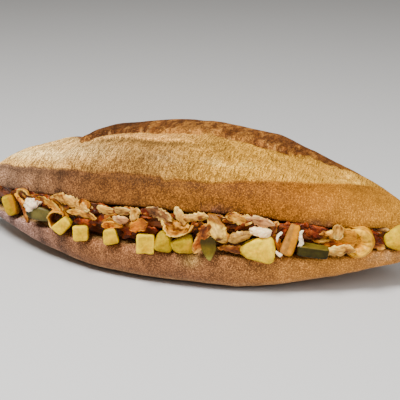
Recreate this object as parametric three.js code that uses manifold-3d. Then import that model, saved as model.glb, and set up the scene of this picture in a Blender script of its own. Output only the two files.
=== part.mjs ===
import * as THREE from "three";
import Module from "manifold-3d";

const wasm = await Module();
wasm.setup();

// Submarine sandwich: a torpedo roll slit along its front and left joined along its back,
// stuffed with flaked chicken, cut potato, pickle and dabs of white sauce.
// Millimetres. X runs along the roll, the slit opens towards -Y, the roll rests on z = 0.
const GAP = 0.35;

const ROLL_LENGTH = 292;
const ROLL_HALF_WIDTH = 54;
const ROLL_HEIGHT = 79.6;
const TIP_HEIGHT = 25.2;
const KEEL_DROP = 4;
const FLAT_SHARE = 0.22;
const FLAT_HALF_SHARE = 0.57;
const CREST_SET_BACK = 7.7;

const LOWER_LIP_HEIGHT = 23.3;
const LOWER_LIP_SLANT = 2.6;
const UPPER_LIP_HEIGHT = 46.4;
const UPPER_LIP_DROP = 12.2;
const UPPER_LIP_SHARE = 0.99;
const SLOT_DEPTH_SHARE = 0.55;
const SLOT_BACK_SHARE = 0.45;

const EAR_DIP = 2;
const EAR_RISE = 0.8;

const CORE_REACH = 0.9;
const CORE_FRONT_LOW = 9;
const CORE_FRONT_HIGH = 2;
const CORE_LEDGE = 12.5;

const STATIONS = 48;
const CORE_STATIONS = 23;

const CRUST = { color: 0xb0763f, roughness: 0.75, metalness: 0 };
const CHICKEN = { color: 0xb87a45, roughness: 0.6, metalness: 0 };
const POTATO = { color: 0xe3c552, roughness: 0.45, metalness: 0 };
const PICKLE = { color: 0x6f7a34, roughness: 0.35, metalness: 0 };
const SAUCE = { color: 0xeeeae2, roughness: 0.3, metalness: 0 };

// Chicken flakes: place along the roll, height, how far the front stands proud of the lip,
// length, breadth, thickness, heading in the mouth, turn about the length, curl (degrees);
// a curl below zero bends the ends away from the front.
const FLAKES = {
  loop: [-92, 40.5, 2, 14, 6, 2.2, 0, 90, 170],
  hanging_string: [-94, 29.5, 1, 17, 3, 5, -66, 0, 30],
  thin_string: [-96, 35.5, 1, 10, 3, 5, -30, 0, 0],
  tan_strip: [-69.5, 39, 2, 18.5, 4.5, 6, -24, 0, 40],
  ring: [-64.6, 30.6, 4, 30, 8, 2.4, 62, 90, 285],
  long_pale: [-53.5, 43.5, 2, 24, 7, 6, -13, 0, 30],
  gold_arch: [-46, 38, 2, 20.5, 4, 6, -4, 0, 50],
  red_face: [-45.5, 33, 0, 15.5, 6, 6, 8, -20, 30],
  first_nub: [-30.4, 43.2, 1, 11, 5, 5, -5, 0, -40],
  second_nub: [-20, 44.4, 1, 10, 4.5, 5, -2, 0, -40],
  knob: [-32.5, 37.5, 0, 8, 5, 5, 70, 0, 0],
  orange_low: [-26.5, 35, 1, 12.5, 5, 6, 10, 0, 30],
  pink_nub: [-21, 39.4, 2, 9, 4.5, 6, 0, 0, -40],
  dark_low: [-19.5, 33, -2, 10, 6.5, 6, -40, 0, 0],
  upright_leaf: [-12, 43.4, 2, 8.5, 6, 6, 70, 0, -50],
  orange_leaf: [-9, 38, 3, 11.5, 6.5, 7, 25, 0, 40],
  red_shelf: [-4.5, 34.5, 0, 11.5, 5, 6, 4, 0, 0],
  grey_flake: [2.5, 45.8, 1.5, 15, 6, 6, -20, 0, 30],
  cup: [12.5, 39, 4, 25, 10, 3, -4, -90, 150],
  cup_inside: [12.5, 40.5, 1, 15, 7, 5, -4, -25, 30],
  spike: [14.5, 46, 2, 11, 5, 6, -62, 0, 20],
  long_thin: [23, 46, 2, 14.5, 5, 6, 12, 0, 20],
  brown_strip: [27.5, 35.5, 4.6, 20, 6, 6, 64, 0, 40],
  pale_chunk: [35.6, 40.6, 3.5, 18, 9, 8, -60, 0, -70],
  leaf: [47, 36.6, 3, 13.5, 6, 7, 18, 0, -40],
  top_tan: [46.5, 46.4, 1, 13.5, 6.5, 6, -12, 0, 20],
  pink_strip: [57.5, 45.4, 2, 15, 5.5, 6, -12, 0, 20],
  slant_tan: [64, 40, 1, 11, 4, 6, 65, 0, 0],
  slant_orange: [66, 32, -1, 10, 4.5, 9, -65, 0, 0],
  slant_red: [70, 40, 0, 11, 3.5, 6, 65, 0, 0],
  dark_meat: [84.5, 38.5, 0, 12, 7.5, 6, -20, 0, 20],
  tan_nub: [92.5, 38, 2, 9.5, 5.5, 7, -4, 0, 30],
  rough_nub: [97, 39.4, 3, 8, 6, 8, 80, 0, -40],
  big_curl: [107.6, 32.4, 4, 26.6, 12, 8, 90, -90, 240],
  curl_floor: [99, 29, 4, 16.5, 6, 6, 8, 0, 20],
  curl_back: [97.5, 31.8, 0.5, 20, 7.5, 8, 4, 0, 0],
  end_strip: [114, 36, 1, 16.5, 4.5, 6, -34, 0, 20],
  end_low: [117, 30.5, 1, 9, 5, 6, -20, 0, 0],
};

// Potato pieces: place, height, proud, width, height, depth, heading, pan, taper of the sides,
// wedge of the height along the width, softness of the corners. All lean back a little.
const POTATO_LEAN = -12;
const POTATOES = {
  potato_1: [-105, 29.5, 3.5, 7.8, 12.6, 7, 20, 26, 0.1, 0, 0.42],
  potato_2: [-60.6, 28.3, 5, 10.3, 7, 8, 43, 28, 0.05, -0.08, 0.32],
  potato_3: [-47.8, 26.3, 5, 8.8, 8.8, 8, 3, 26, 0.06, 0, 0.32],
  potato_4: [-28, 28, 4, 8.2, 8.8, 8, 10, 24, -0.12, 0.05, 0.38],
  potato_5: [-5.8, 27.2, 4.5, 9.8, 10.8, 8, -2, 18, 0, 0, 0.2],
  potato_6: [4.6, 29, 3, 10, 11, 8, -12, 18, -0.15, -0.08, 0.6],
  potato_7: [15.8, 28.8, 3.5, 12.8, 9.4, 8, 14, 12, 0.1, 0.3, 0.55],
  potato_8: [56.5, 29, 5, 18.5, 12.5, 9, 2, 4, -0.05, 0.5, 0.5],
  potato_9: [73.5, 35, 4, 7, 18, 7, -17, 2, -0.06, 0, 0.45],
  potato_10: [126.5, 33, 4, 13, 13, 8, 8, -8, 0.08, 0.4, 0.65],
};

// Pickle pieces: outline corners as shares of width and height, then place, height, proud,
// width, height, depth, heading, pan.
const PICKLE_OUTLINES = {
  pickle_1: [[-0.5, 0.05], [-0.36, 0.4], [-0.05, 0.5], [0.3, 0.42], [0.5, 0.1], [0.42, -0.3], [0.1, -0.5], [-0.3, -0.42]],
  pickle_2: [[-0.5, 0.5], [0.5, 0.44], [0.46, -0.1], [0.02, -0.5], [-0.44, -0.06]],
  pickle_3: [[-0.5, 0.5], [0.5, 0.5], [0.5, -0.36], [0.4, -0.5], [-0.4, -0.5], [-0.5, -0.36]],
};
const PICKLES = {
  pickle_1: [-78.5, 31, 3, 17, 8.5, 3.5, -8, 22],
  pickle_2: [31, 29, 3.6, 8.5, 14, 3.2, 4, 6],
  pickle_3: [85, 28.5, 4.5, 17, 6, 8.5, -6, 0],
};

// Sauce dabs: place, height, proud, width, height, depth, heading.
const SAUCES = {
  sauce_1: [-83.5, 35.8, 5, 9, 7.6, 7, 20],
  sauce_2: [57.2, 39, 4, 11, 5.4, 7, -8],
  sauce_3: [78.6, 35.8, 4, 3, 9, 5, -14],
  sauce_4: [68.2, 27.4, 4.8, 3.6, 2, 5, 0],
  sauce_5: [67.4, 37, 3, 1.6, 5.2, 5, -24],
};

function hill(x, middle, reach) {
  return Math.exp(-(((x - middle) / reach) ** 2));
}

function ramp(x, from, to) {
  const share = Math.min(1, Math.max(0, (x - from) / (to - from)));
  return share * share * (3 - 2 * share);
}

// The guiding heights and half-width of the roll at a place along its length.
function guides(x) {
  const u = x / (ROLL_LENGTH / 2);
  const soft = 0.1;
  const away = Math.min(1, (Math.hypot(u, soft) - soft) / (Math.hypot(1, soft) - soft));
  const plan = (1 - away ** 1.67) ** 0.87 + 0.12 * away ** 4 * Math.sqrt(1 - away * away);
  const close = Math.sqrt(1 - away ** 10);
  const lipWave = 1.4 * hill(x, 28, 22) - 1.2 * hill(x, 98, 14) + 1.5 * hill(x, 118, 8);
  const lower = LOWER_LIP_HEIGHT + LOWER_LIP_SLANT * u + lipWave;
  const upperWave =
    2.2 * hill(x, 48, 20) - 0.6 * hill(x, 95, 12) + 2.4 * hill(x, 122, 12) - hill(x, -42, 20);
  const upper = UPPER_LIP_HEIGHT - UPPER_LIP_DROP * away ** 1.6 + upperWave;
  const crestWave = 1.5 * hill(x, 50, 15) - hill(x, 82, 9) + 2.2 * hill(x, -116, 13);
  const earNotch = 0.9 * hill(x, -55, 8) - 3.4 * hill(x, -73, 7.5);
  const dome = (ROLL_HEIGHT - TIP_HEIGHT) * (1 - away ** 1.28) ** 0.58;
  const keel = Math.max(0, (away - FLAT_SHARE) / (1 - FLAT_SHARE)) ** 1.3;
  const lowerLip = TIP_HEIGHT + (lower - TIP_HEIGHT) * close;
  const upperLip = TIP_HEIGHT + (upper - TIP_HEIGHT) * close;
  return {
    plan,
    half: ROLL_HALF_WIDTH * plan,
    bottom: (TIP_HEIGHT - KEEL_DROP) * keel,
    crest: TIP_HEIGHT + dome + (crestWave + earNotch) * close,
    crestY: CREST_SET_BACK * plan,
    lowerLip,
    upperLip,
    hinge: lowerLip + 0.35 * (upperLip - lowerLip),
  };
}

// The ear is the raised back border of the split in the top crust.
function earLine(x, plan) {
  const bows = 5 * hill(x, 48, 12) + 12 * hill(x, -64, 12) + 7 * hill(x, -8, 26);
  return plan * (1 + 0.015 * x - bows);
}

function earRelief(x, y, plan) {
  const away = y - earLine(x, plan);
  const share = ramp(x, -72, -60) * (1 - ramp(x, 84, 108));
  return share * (away < 0 ? -EAR_DIP * Math.exp(away / 6) : EAR_RISE * Math.exp(-away / 8));
}

// Quarter superellipse from a point with an upright tangent to one with a level tangent.
function arc(fromY, fromZ, toY, toZ, power, steps) {
  const points = [];
  for (let k = 0; k <= steps; k++) {
    const t = ((Math.PI / 2) * k) / steps;
    const across = k === steps ? 0 : Math.cos(t) ** (2 / power);
    const up = Math.sin(t) ** (2 / power);
    points.push([toY + (fromY - toY) * across, fromZ + (toZ - fromZ) * up]);
  }
  return points;
}

function frontTop(x, g) {
  const lip = -UPPER_LIP_SHARE * g.half;
  const power = 2.8;
  const spread = 1.4 * Math.min(1, 3 * g.plan);
  const ear = earLine(x, g.plan);
  const height = (y) => {
    const share = Math.min(1, Math.max(0, (g.crestY - y) / (g.crestY - lip)));
    return g.upperLip + (g.crest - g.upperLip) * (1 - share ** power) ** (1 / power);
  };
  const last = Math.acos(((g.crestY - ear + spread) / (g.crestY - lip)) ** (power / 2));
  const points = [[ear + spread, height(ear + spread)]];
  for (let k = 9; k >= 0; k--) {
    const y = g.crestY + (lip - g.crestY) * Math.cos((last * k) / 9) ** (2 / power);
    points.push([y, height(y)]);
  }
  return points;
}

function rollSection(x) {
  const g = guides(x);
  const rest = FLAT_HALF_SHARE * g.half;
  const inner = SLOT_DEPTH_SHARE * g.half;
  const opening = SLOT_BACK_SHARE * (g.upperLip - g.lowerLip);
  const frontLow = arc(-g.half, g.lowerLip, -rest, g.bottom, 2.5, 6);
  const backLow = arc(g.half, g.hinge, rest, g.bottom, 2.5, 5).reverse();
  const backTop = arc(g.half, g.hinge, g.crestY, g.crest, 2.84, 7).slice(1);
  const top = [...backTop, ...frontTop(x, g)].map(([y, z]) => [y, z + earRelief(x, y, g.plan)]);
  const ceiling = [g.hinge + opening / 2, g.upperLip];
  const floor = [g.hinge - opening / 2, g.lowerLip];
  const lip = -UPPER_LIP_SHARE * g.half;
  const slot = [];
  for (const share of [0.35, 0.7, 1]) {
    slot.push([lip + (inner - lip) * share, ceiling[1] + (ceiling[0] - ceiling[1]) * share]);
  }
  slot.push([inner + opening * 0.35, g.hinge]);
  for (const share of [1, 0.7, 0.35]) {
    slot.push([-g.half + (inner + g.half) * share, floor[1] + (floor[0] - floor[1]) * share]);
  }
  return [...frontLow, [0, g.bottom], ...backLow, ...top, ...slot];
}

// Joins rings of equal length along X, closing each end on a point.
function loft(rings, startTip, endTip) {
  const count = rings[0].length;
  const positions = rings.flat(2);
  const index = [];
  for (let i = 0; i + 1 < rings.length; i++) {
    for (let j = 0; j < count; j++) {
      const next = (j + 1) % count;
      const a = i * count + j;
      const b = i * count + next;
      index.push(a, a + count, b, b, a + count, b + count);
    }
  }
  const start = rings.length * count;
  positions.push(...startTip, ...endTip);
  for (let j = 0; j < count; j++) {
    const next = (j + 1) % count;
    const last = (rings.length - 1) * count;
    index.push(start, j, next, start + 1, last + next, last + j);
  }
  const geometry = new THREE.BufferGeometry();
  geometry.setAttribute("position", new THREE.Float32BufferAttribute(positions, 3));
  geometry.setIndex(index);
  return geometry;
}

function rollGeometry(grow) {
  const rings = [];
  for (let i = 0; i < STATIONS; i++) {
    const swing = Math.asin(0.985) * ((2 * i) / (STATIONS - 1) - 1);
    const x = (ROLL_LENGTH / 2) * Math.sin(swing);
    rings.push(rollSection(x).map(([y, z]) => [x, y, z]));
  }
  const tip = ROLL_LENGTH / 2;
  const height = TIP_HEIGHT - KEEL_DROP / 2;
  const geometry = loft(rings, [-tip, 0, height], [tip, 0, height]);
  if (grow === 0) return geometry;
  geometry.computeVertexNormals();
  const position = geometry.attributes.position;
  const normal = geometry.attributes.normal;
  const direction = solidOf(geometry, true) < 0 ? -1 : 1;
  for (let k = 0; k < position.count; k++) {
    position.setXYZ(
      k,
      position.getX(k) + direction * grow * normal.getX(k),
      position.getY(k) + direction * grow * normal.getY(k),
      position.getZ(k) + direction * grow * normal.getZ(k),
    );
  }
  return geometry;
}

// The heap's core fills the slot, stepping back low down where the potato pieces sit.
function coreGeometry(grow) {
  const rings = [];
  const reach = (ROLL_LENGTH / 2) * CORE_REACH + grow;
  for (let i = 0; i < CORE_STATIONS; i++) {
    const x = reach * Math.sin((Math.PI / 2) * 0.98 * ((2 * i) / (CORE_STATIONS - 1) - 1));
    const g = guides(x);
    const inner = SLOT_DEPTH_SHARE * g.half;
    const opening = SLOT_BACK_SHARE * (g.upperLip - g.lowerLip);
    const shrink = 0.6 - grow;
    const low = -g.half + Math.min(CORE_FRONT_LOW, 0.5 * g.half) - grow;
    const high = -g.half + Math.min(CORE_FRONT_HIGH, 0.3 * g.half) - grow;
    const floorAt = (y) => {
      const share = (y + g.half) / (inner + g.half);
      return g.lowerLip + share * (g.hinge - opening / 2 - g.lowerLip) + shrink;
    };
    const ceilingAt = (y) => {
      const share = (y + g.half) / (inner + g.half);
      return g.upperLip + share * (g.hinge + opening / 2 - g.upperLip) - shrink;
    };
    const ledge = Math.min(g.lowerLip + CORE_LEDGE, 0.45 * floorAt(low) + 0.55 * ceilingAt(high));
    rings.push([
      [x, low, floorAt(low)],
      [x, inner, floorAt(inner)],
      [x, inner + opening * 0.3, g.hinge],
      [x, inner, ceilingAt(inner)],
      [x, high, ceilingAt(high)],
      [x, high, ledge - grow],
      [x, low, ledge - grow - 1],
    ]);
  }
  const tip = reach + 1;
  const g = guides(tip);
  return loft(rings, [-tip, 0, guides(-tip).hinge], [tip, 0, g.hinge]);
}

// A curled tapering strip with sharp side edges, lying along local X with its face to +Z.
function flakeGeometry(length, breadth, thickness, curl) {
  const bend = THREE.MathUtils.degToRad(Math.max(Math.abs(curl), 1));
  const side = curl < 0 ? -1 : 1;
  const radius = length / bend;
  const sag = radius * (1 - Math.cos(bend / 2));
  const stations = curl > 100 ? 9 : 6;
  const outline = [[0.5, 0], [0.28, 0.5], [-0.28, 0.5], [-0.5, 0], [-0.28, -0.5], [0.28, -0.5]];
  const rings = [];
  for (let i = 0; i < stations; i++) {
    const share = (2 * i) / (stations - 1) - 1;
    const angle = (bend * share) / 2;
    const taper = 1 - 0.55 * Math.abs(share) ** 2.5;
    rings.push(outline.map(([across, over]) => {
      const reach = radius - over * thickness * (0.6 + 0.4 * taper);
      const out = radius - sag / 2 - reach * Math.cos(angle);
      return [reach * Math.sin(angle), across * breadth * taper, side * out];
    }));
  }
  const mean = (ring) => [0, 1, 2].map((k) => ring.reduce((sum, point) => sum + point[k], 0) / ring.length);
  return loft(rings, mean(rings[0]), mean(rings[stations - 1]));
}

// A block cut from a flat outline, its edges chamfered, centred on the origin.
function blockGeometry(corners, depth, chamfer) {
  const shape = new THREE.Shape(corners.map(([x, y]) => new THREE.Vector2(x, y)));
  const geometry = new THREE.ExtrudeGeometry(shape, {
    depth: depth - 2 * chamfer,
    steps: 1,
    bevelEnabled: true,
    bevelSegments: 1,
    bevelSize: chamfer,
    bevelOffset: -chamfer,
    bevelThickness: chamfer,
  });
  return geometry.translate(0, 0, chamfer - depth / 2);
}

function potatoGeometry(width, height, depth, taper, wedge, softness, grow) {
  const halfWidth = width / 2 + grow;
  const halfHeight = height / 2 + grow;
  const cut = (0.08 + 0.4 * softness) * Math.min(width, height);
  const corners = [];
  for (const [sideX, sideY] of [[1, 1], [-1, 1], [-1, -1], [1, -1]]) {
    const flat = [sideX * (halfWidth - cut), sideY * halfHeight];
    const upright = [sideX * halfWidth, sideY * (halfHeight - cut)];
    corners.push(...(sideX * sideY > 0 ? [upright, flat] : [flat, upright]));
  }
  const leaning = corners.map(([x, y]) => [
    x * (1 + (taper * y) / halfHeight),
    y * (1 + (wedge * x) / halfWidth),
  ]);
  return blockGeometry(leaning, depth + 2 * grow, 0.6 + 1.2 * softness);
}

function pickleGeometry(outline, width, height, depth, grow) {
  const corners = outline.map(([x, y]) => [x * (width + 2 * grow), y * (height + 2 * grow)]);
  return blockGeometry(corners.reverse(), depth + 2 * grow, 0.6);
}

function sauceGeometry(width, height, depth, grow) {
  const geometry = new THREE.SphereGeometry(1, 12, 8);
  const position = geometry.attributes.position;
  for (let k = 0; k < position.count; k++) {
    const x = position.getX(k);
    const y = position.getY(k);
    const z = position.getZ(k);
    const lump = 1 + 0.1 * Math.sin(3.1 * x + 2.3 * y + 1) * Math.cos(2.7 * z - 1.9 * y);
    position.setXYZ(k, x * lump * (width / 2 + grow), y * lump * (height / 2 + grow), z * lump * (depth / 2 + grow));
  }
  return geometry;
}

// Stands a piece in the mouth of the slit: local X along the mouth, Y up, Z out of the mouth.
function placed(geometry, x, height, proud, depth, heading, turn, pan) {
  const slope = guides(x + 0.5).half - guides(x - 0.5).half;
  const yaw = 0.6 * Math.atan(-slope) + THREE.MathUtils.degToRad(pan);
  const basis = new THREE.Matrix4().makeBasis(
    new THREE.Vector3(1, 0, 0),
    new THREE.Vector3(0, 0, 1),
    new THREE.Vector3(0, -1, 0),
  );
  const mouth = new THREE.Matrix4().makeRotationZ(yaw).multiply(basis);
  mouth.multiply(new THREE.Matrix4().makeRotationZ(THREE.MathUtils.degToRad(heading)));
  mouth.multiply(new THREE.Matrix4().makeRotationX(THREE.MathUtils.degToRad(turn)));
  geometry.applyMatrix4(mouth);
  return geometry.translate(x, -guides(x).half - proud + depth / 2, height);
}

// Merges the corners of a closed surface and turns it into a solid, or gives its signed volume.
function solidOf(geometry, volumeOnly = false) {
  const position = geometry.attributes.position;
  const source = geometry.index ? geometry.index.array : [...Array(position.count).keys()];
  const seen = new Map();
  const vertices = [];
  const corner = (k) => {
    const point = [position.getX(k), position.getY(k), position.getZ(k)];
    const key = point.map((value) => Math.round(value * 2000)).join(",");
    if (!seen.has(key)) {
      seen.set(key, vertices.length / 3);
      vertices.push(...point);
    }
    return seen.get(key);
  };
  let triangles = [];
  let volume = 0;
  for (let k = 0; k < source.length; k += 3) {
    const [a, b, c] = [corner(source[k]), corner(source[k + 1]), corner(source[k + 2])];
    if (a === b || b === c || c === a) continue;
    triangles.push(a, b, c);
    const [p, q, r] = [a, b, c].map((v) => new THREE.Vector3(...vertices.slice(3 * v, 3 * v + 3)));
    volume += p.dot(q.cross(r)) / 6;
  }
  if (volumeOnly) return volume;
  if (volume < 0) triangles = triangles.reverse();
  return new wasm.Manifold(
    new wasm.Mesh({
      numProp: 3,
      vertProperties: new Float32Array(vertices),
      triVerts: new Uint32Array(triangles),
    }),
  );
}

function largest(solid) {
  return solid.decompose().reduce((best, part) => (part.volume() > best.volume() ? part : best));
}

function meshOf(name, solid, look) {
  const source = solid.getMesh();
  const positions = [];
  for (let k = 0; k < source.vertProperties.length; k += source.numProp) {
    positions.push(...source.vertProperties.slice(k, k + 3));
  }
  const geometry = new THREE.BufferGeometry();
  geometry.setAttribute("position", new THREE.Float32BufferAttribute(positions, 3));
  geometry.setIndex([...source.triVerts]);
  geometry.computeVertexNormals();
  const mesh = new THREE.Mesh(geometry, new THREE.MeshStandardMaterial(look));
  mesh.name = name;
  return mesh;
}

const toppings = [];
for (const [name, row] of Object.entries(POTATOES)) {
  const [x, height, proud, width, tall, depth, heading, pan, taper, wedge, softness] = row;
  const make = (grow) => {
    const block = potatoGeometry(width, tall, depth, taper, wedge, softness, grow);
    return solidOf(placed(block, x, height, proud, depth, heading, POTATO_LEAN, pan));
  };
  toppings.push({ name, make, look: POTATO });
}
for (const [name, row] of Object.entries(PICKLES)) {
  const [x, height, proud, width, tall, depth, heading, pan] = row;
  const make = (grow) => {
    const slice = pickleGeometry(PICKLE_OUTLINES[name], width, tall, depth, grow);
    return solidOf(placed(slice, x, height, proud, depth, heading, 0, pan));
  };
  toppings.push({ name, make, look: PICKLE });
}
for (const [name, row] of Object.entries(SAUCES)) {
  const [x, height, proud, width, tall, depth, heading] = row;
  const make = (grow) => {
    const dab = sauceGeometry(width, tall, depth, grow);
    return solidOf(placed(dab, x, height, proud, depth, heading, 0, 0));
  };
  toppings.push({ name, make, look: SAUCE });
}

const roll = solidOf(rollGeometry(0));
const rollClearance = solidOf(rollGeometry(GAP * 1.6));
const core = solidOf(coreGeometry(0));
let taken = rollClearance.add(solidOf(coreGeometry(GAP)));
let toppingClearance = null;
const sandwich = new THREE.Group();
sandwich.name = "submarine_sandwich";
sandwich.add(meshOf("bread_roll", roll, CRUST));
for (const { name, make, look } of toppings) {
  sandwich.add(meshOf(name, largest(make(0).subtract(taken)), look));
  const grown = make(GAP);
  taken = taken.add(grown);
  toppingClearance = toppingClearance ? toppingClearance.add(grown) : grown;
}

let heap = core;
for (const row of Object.values(FLAKES)) {
  const [x, height, proud, length, breadth, thickness, heading, turn, curl] = row;
  const depth = Math.abs(turn) > 45 ? breadth : thickness;
  const flake = placed(flakeGeometry(length, breadth, thickness, curl), x, height, proud, depth, heading, turn, 0);
  heap = heap.add(solidOf(flake));
}
heap = largest(heap.subtract(rollClearance).subtract(toppingClearance));
sandwich.add(meshOf("chicken_filling", heap, CHICKEN));

export default sandwich;
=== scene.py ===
"""Looks of the filled torpedo roll: crust, flaked chicken, potato, pickle and sauce over the solids."""
from types import SimpleNamespace

import bpy
import numpy as np
from mathutils import Matrix, Vector


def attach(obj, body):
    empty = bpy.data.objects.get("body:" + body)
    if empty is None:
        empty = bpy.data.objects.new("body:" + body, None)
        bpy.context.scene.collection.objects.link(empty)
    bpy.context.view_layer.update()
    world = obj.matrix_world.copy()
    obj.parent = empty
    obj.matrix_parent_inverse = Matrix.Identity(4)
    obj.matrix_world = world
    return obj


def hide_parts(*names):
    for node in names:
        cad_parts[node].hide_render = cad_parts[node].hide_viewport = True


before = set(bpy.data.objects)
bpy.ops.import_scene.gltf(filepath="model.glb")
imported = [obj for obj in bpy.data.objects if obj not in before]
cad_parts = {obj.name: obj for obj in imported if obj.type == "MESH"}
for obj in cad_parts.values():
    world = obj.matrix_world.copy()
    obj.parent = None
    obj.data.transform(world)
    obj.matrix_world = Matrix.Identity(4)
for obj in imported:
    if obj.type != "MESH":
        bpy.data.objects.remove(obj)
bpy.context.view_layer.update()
rng = np.random.default_rng(7)

# Roll sizes in millimetres; everything becomes metres when a mesh is made.
MM = 0.001
ROLL_LENGTH = 292
ROLL_HALF_WIDTH = 54
ROLL_HEIGHT = 79.6
TIP_HEIGHT = 25.2
KEEL_DROP = 4
FLAT_SHARE = 0.22
FLAT_HALF_SHARE = 0.57
CREST_SET_BACK = 7.7
LOWER_LIP_HEIGHT = 23.3
LOWER_LIP_SLANT = 2.6
UPPER_LIP_HEIGHT = 46.4
UPPER_LIP_DROP = 12.2
UPPER_LIP_SHARE = 0.99
SLOT_DEPTH_SHARE = 0.55
SLOT_BACK_SHARE = 0.45
SLOT_END_SHARE = 0.35
HINGE_SHARE = 0.35
EAR_DIP = 2.0
EAR_RISE = 0.8
EAR_TIP_RISE = 1.5
FOLD_RISE = 1.7
PALE_FRONT_SHARE = 0.91
SPLIT_END_SHARE = 0.74
SPLIT_END_BACK = 16

# Powers of the superellipse arcs: below the slit, at the upper back and at the upper front.
LOWER_POWER = 2.5
BACK_POWER = 2.84
FRONT_POWER = 2.8

# Points of the roll: stations along it, points on each arc of its ring, and weights that smooth the ring.
ROLL_STATIONS = 420
ROLL_REACH = 0.9985
FRONT_LOW_POINTS = 46
BOTTOM_POINTS = 10
BACK_LOW_POINTS = 22
BACK_TOP_POINTS = 42
FRONT_TOP_POINTS = 96
SLOT_POINTS = 12
ROLL_SMOOTHING = (0.1, 0.2, 0.4, 0.2, 0.1)

# The arcs of the roll's ring, in order from the lower lip round the back to the slit's floor.
FRONT_LOW, BOTTOM, BACK_LOW, BACK_TOP, FRONT_TOP, CEILING, SLOT_END, FLOOR = range(8)

# Bells along the roll, by height, middle and reach: six that shape it and its split, then four of colour.
LOWER_LIP_WAVES = ((1.4, 28, 22), (-1.2, 98, 14), (1.5, 118, 8))
UPPER_LIP_WAVES = ((2.2, 48, 20), (-0.6, 95, 12), (2.4, 122, 12), (-1, -42, 20))
CREST_WAVES = ((1.5, 50, 15), (-1, 82, 9), (2.2, -116, 13), (0.9, -55, 8), (-3.4, -73, 7.5))
EAR_LINE_WAVES = ((-5, 48, 12), (-12, -64, 12), (-7, -8, 26))
PALE_LINE_WAVES = ((1.4, -62, 26), (1.5, -74, 6), (-0.8, -56, 6), (0.5, -18, 22))
SPLIT_BACK_WAVES = ((-8.3, -56, 4.5), (-1.5, -40, 8), (1.5, 14, 7), (-1.6, 44, 9))
FRONT_BANDS = ((0.26, -91, 6), (0.15, -72, 3), (-0.25, -107, 2), (-0.38, -80.5, 3), (-0.33, -64, 3.5))
BAKED_PLACES = ((0.85, -46, 18), (0.3, 54, 12), (-0.3, 36, 9), (-0.15, 14, 12), (0.25, -13, 10))
EAR_SHADE = ((-0.42, -48, 17), (-0.2, -2, 20))
STAIN_PLACES = ((0.95, 34, 6.5), (0.5, 88, 9))

# Scales that draw noise out round the roll, from a little to the most.
HALVED = np.array((1, 0.5, 0.5))
BLISTERED = np.array((1, 0.4, 0.4))
FLECKED = np.array((1, 0.35, 0.35))
DRAWN = np.array((1, 0.3, 0.3))
STREAKED = np.array((1, 0.25, 0.25))
BANDED = np.array((1, 0.1, 0.1))

# Crust colours as linear light. The front crust: place along the roll, then red, green and blue.
FRONT = np.array((
    (-125, 0.222, 0.118, 0.064),
    (-100, 0.21, 0.105, 0.053),
    (-80, 0.187, 0.085, 0.036),
    (-60, 0.163, 0.065, 0.022),
    (-38, 0.155, 0.0555, 0.0115),
    (-15, 0.160, 0.0555, 0.0093),
    (15, 0.19, 0.0655, 0.0072),
    (45, 0.169, 0.0536, 0.0045),
    (75, 0.228, 0.0735, 0.0045),
    (100, 0.294, 0.109, 0.007),
    (125, 0.311, 0.1145, 0.007),
))
# The lower half and the pale split, each at the left, middle and right.
LOW = np.array(((0.22, 0.124, 0.1), (0.20, 0.078, 0.0275), (0.415, 0.164, 0.0262)))
FLOUR = np.array(((0.78, 0.49, 0.165), (0.275, 0.132, 0.029), (0.51, 0.24, 0.0225)))
EAR_SKIN = np.array((0.225, 0.085, 0.0135))
EAR_CRISP = np.array((0.075, 0.021, 0.0032))
EAR_FLECK = np.array((0.36, 0.175, 0.045))
# Painted reflected light for the lower crust's underside.
UNDERSIDE = np.array((0.333, 0.2, 0.0963))
CRUMB = np.array((0.252, 0.133, 0.0407))
RIGHT_TIP_GLOW = np.array((1.12, 1.28, 1.6))
SAUCE_STAIN = np.array((0.10, 0.036, 0.018))
CREAM_SMEAR = np.array((0.459, 0.281, 0.0667))
WET_SHEEN = np.array((0.593, 0.37, 0.178))
GREASE = np.array((0.119, 0.0519, 0.00889))

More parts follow.
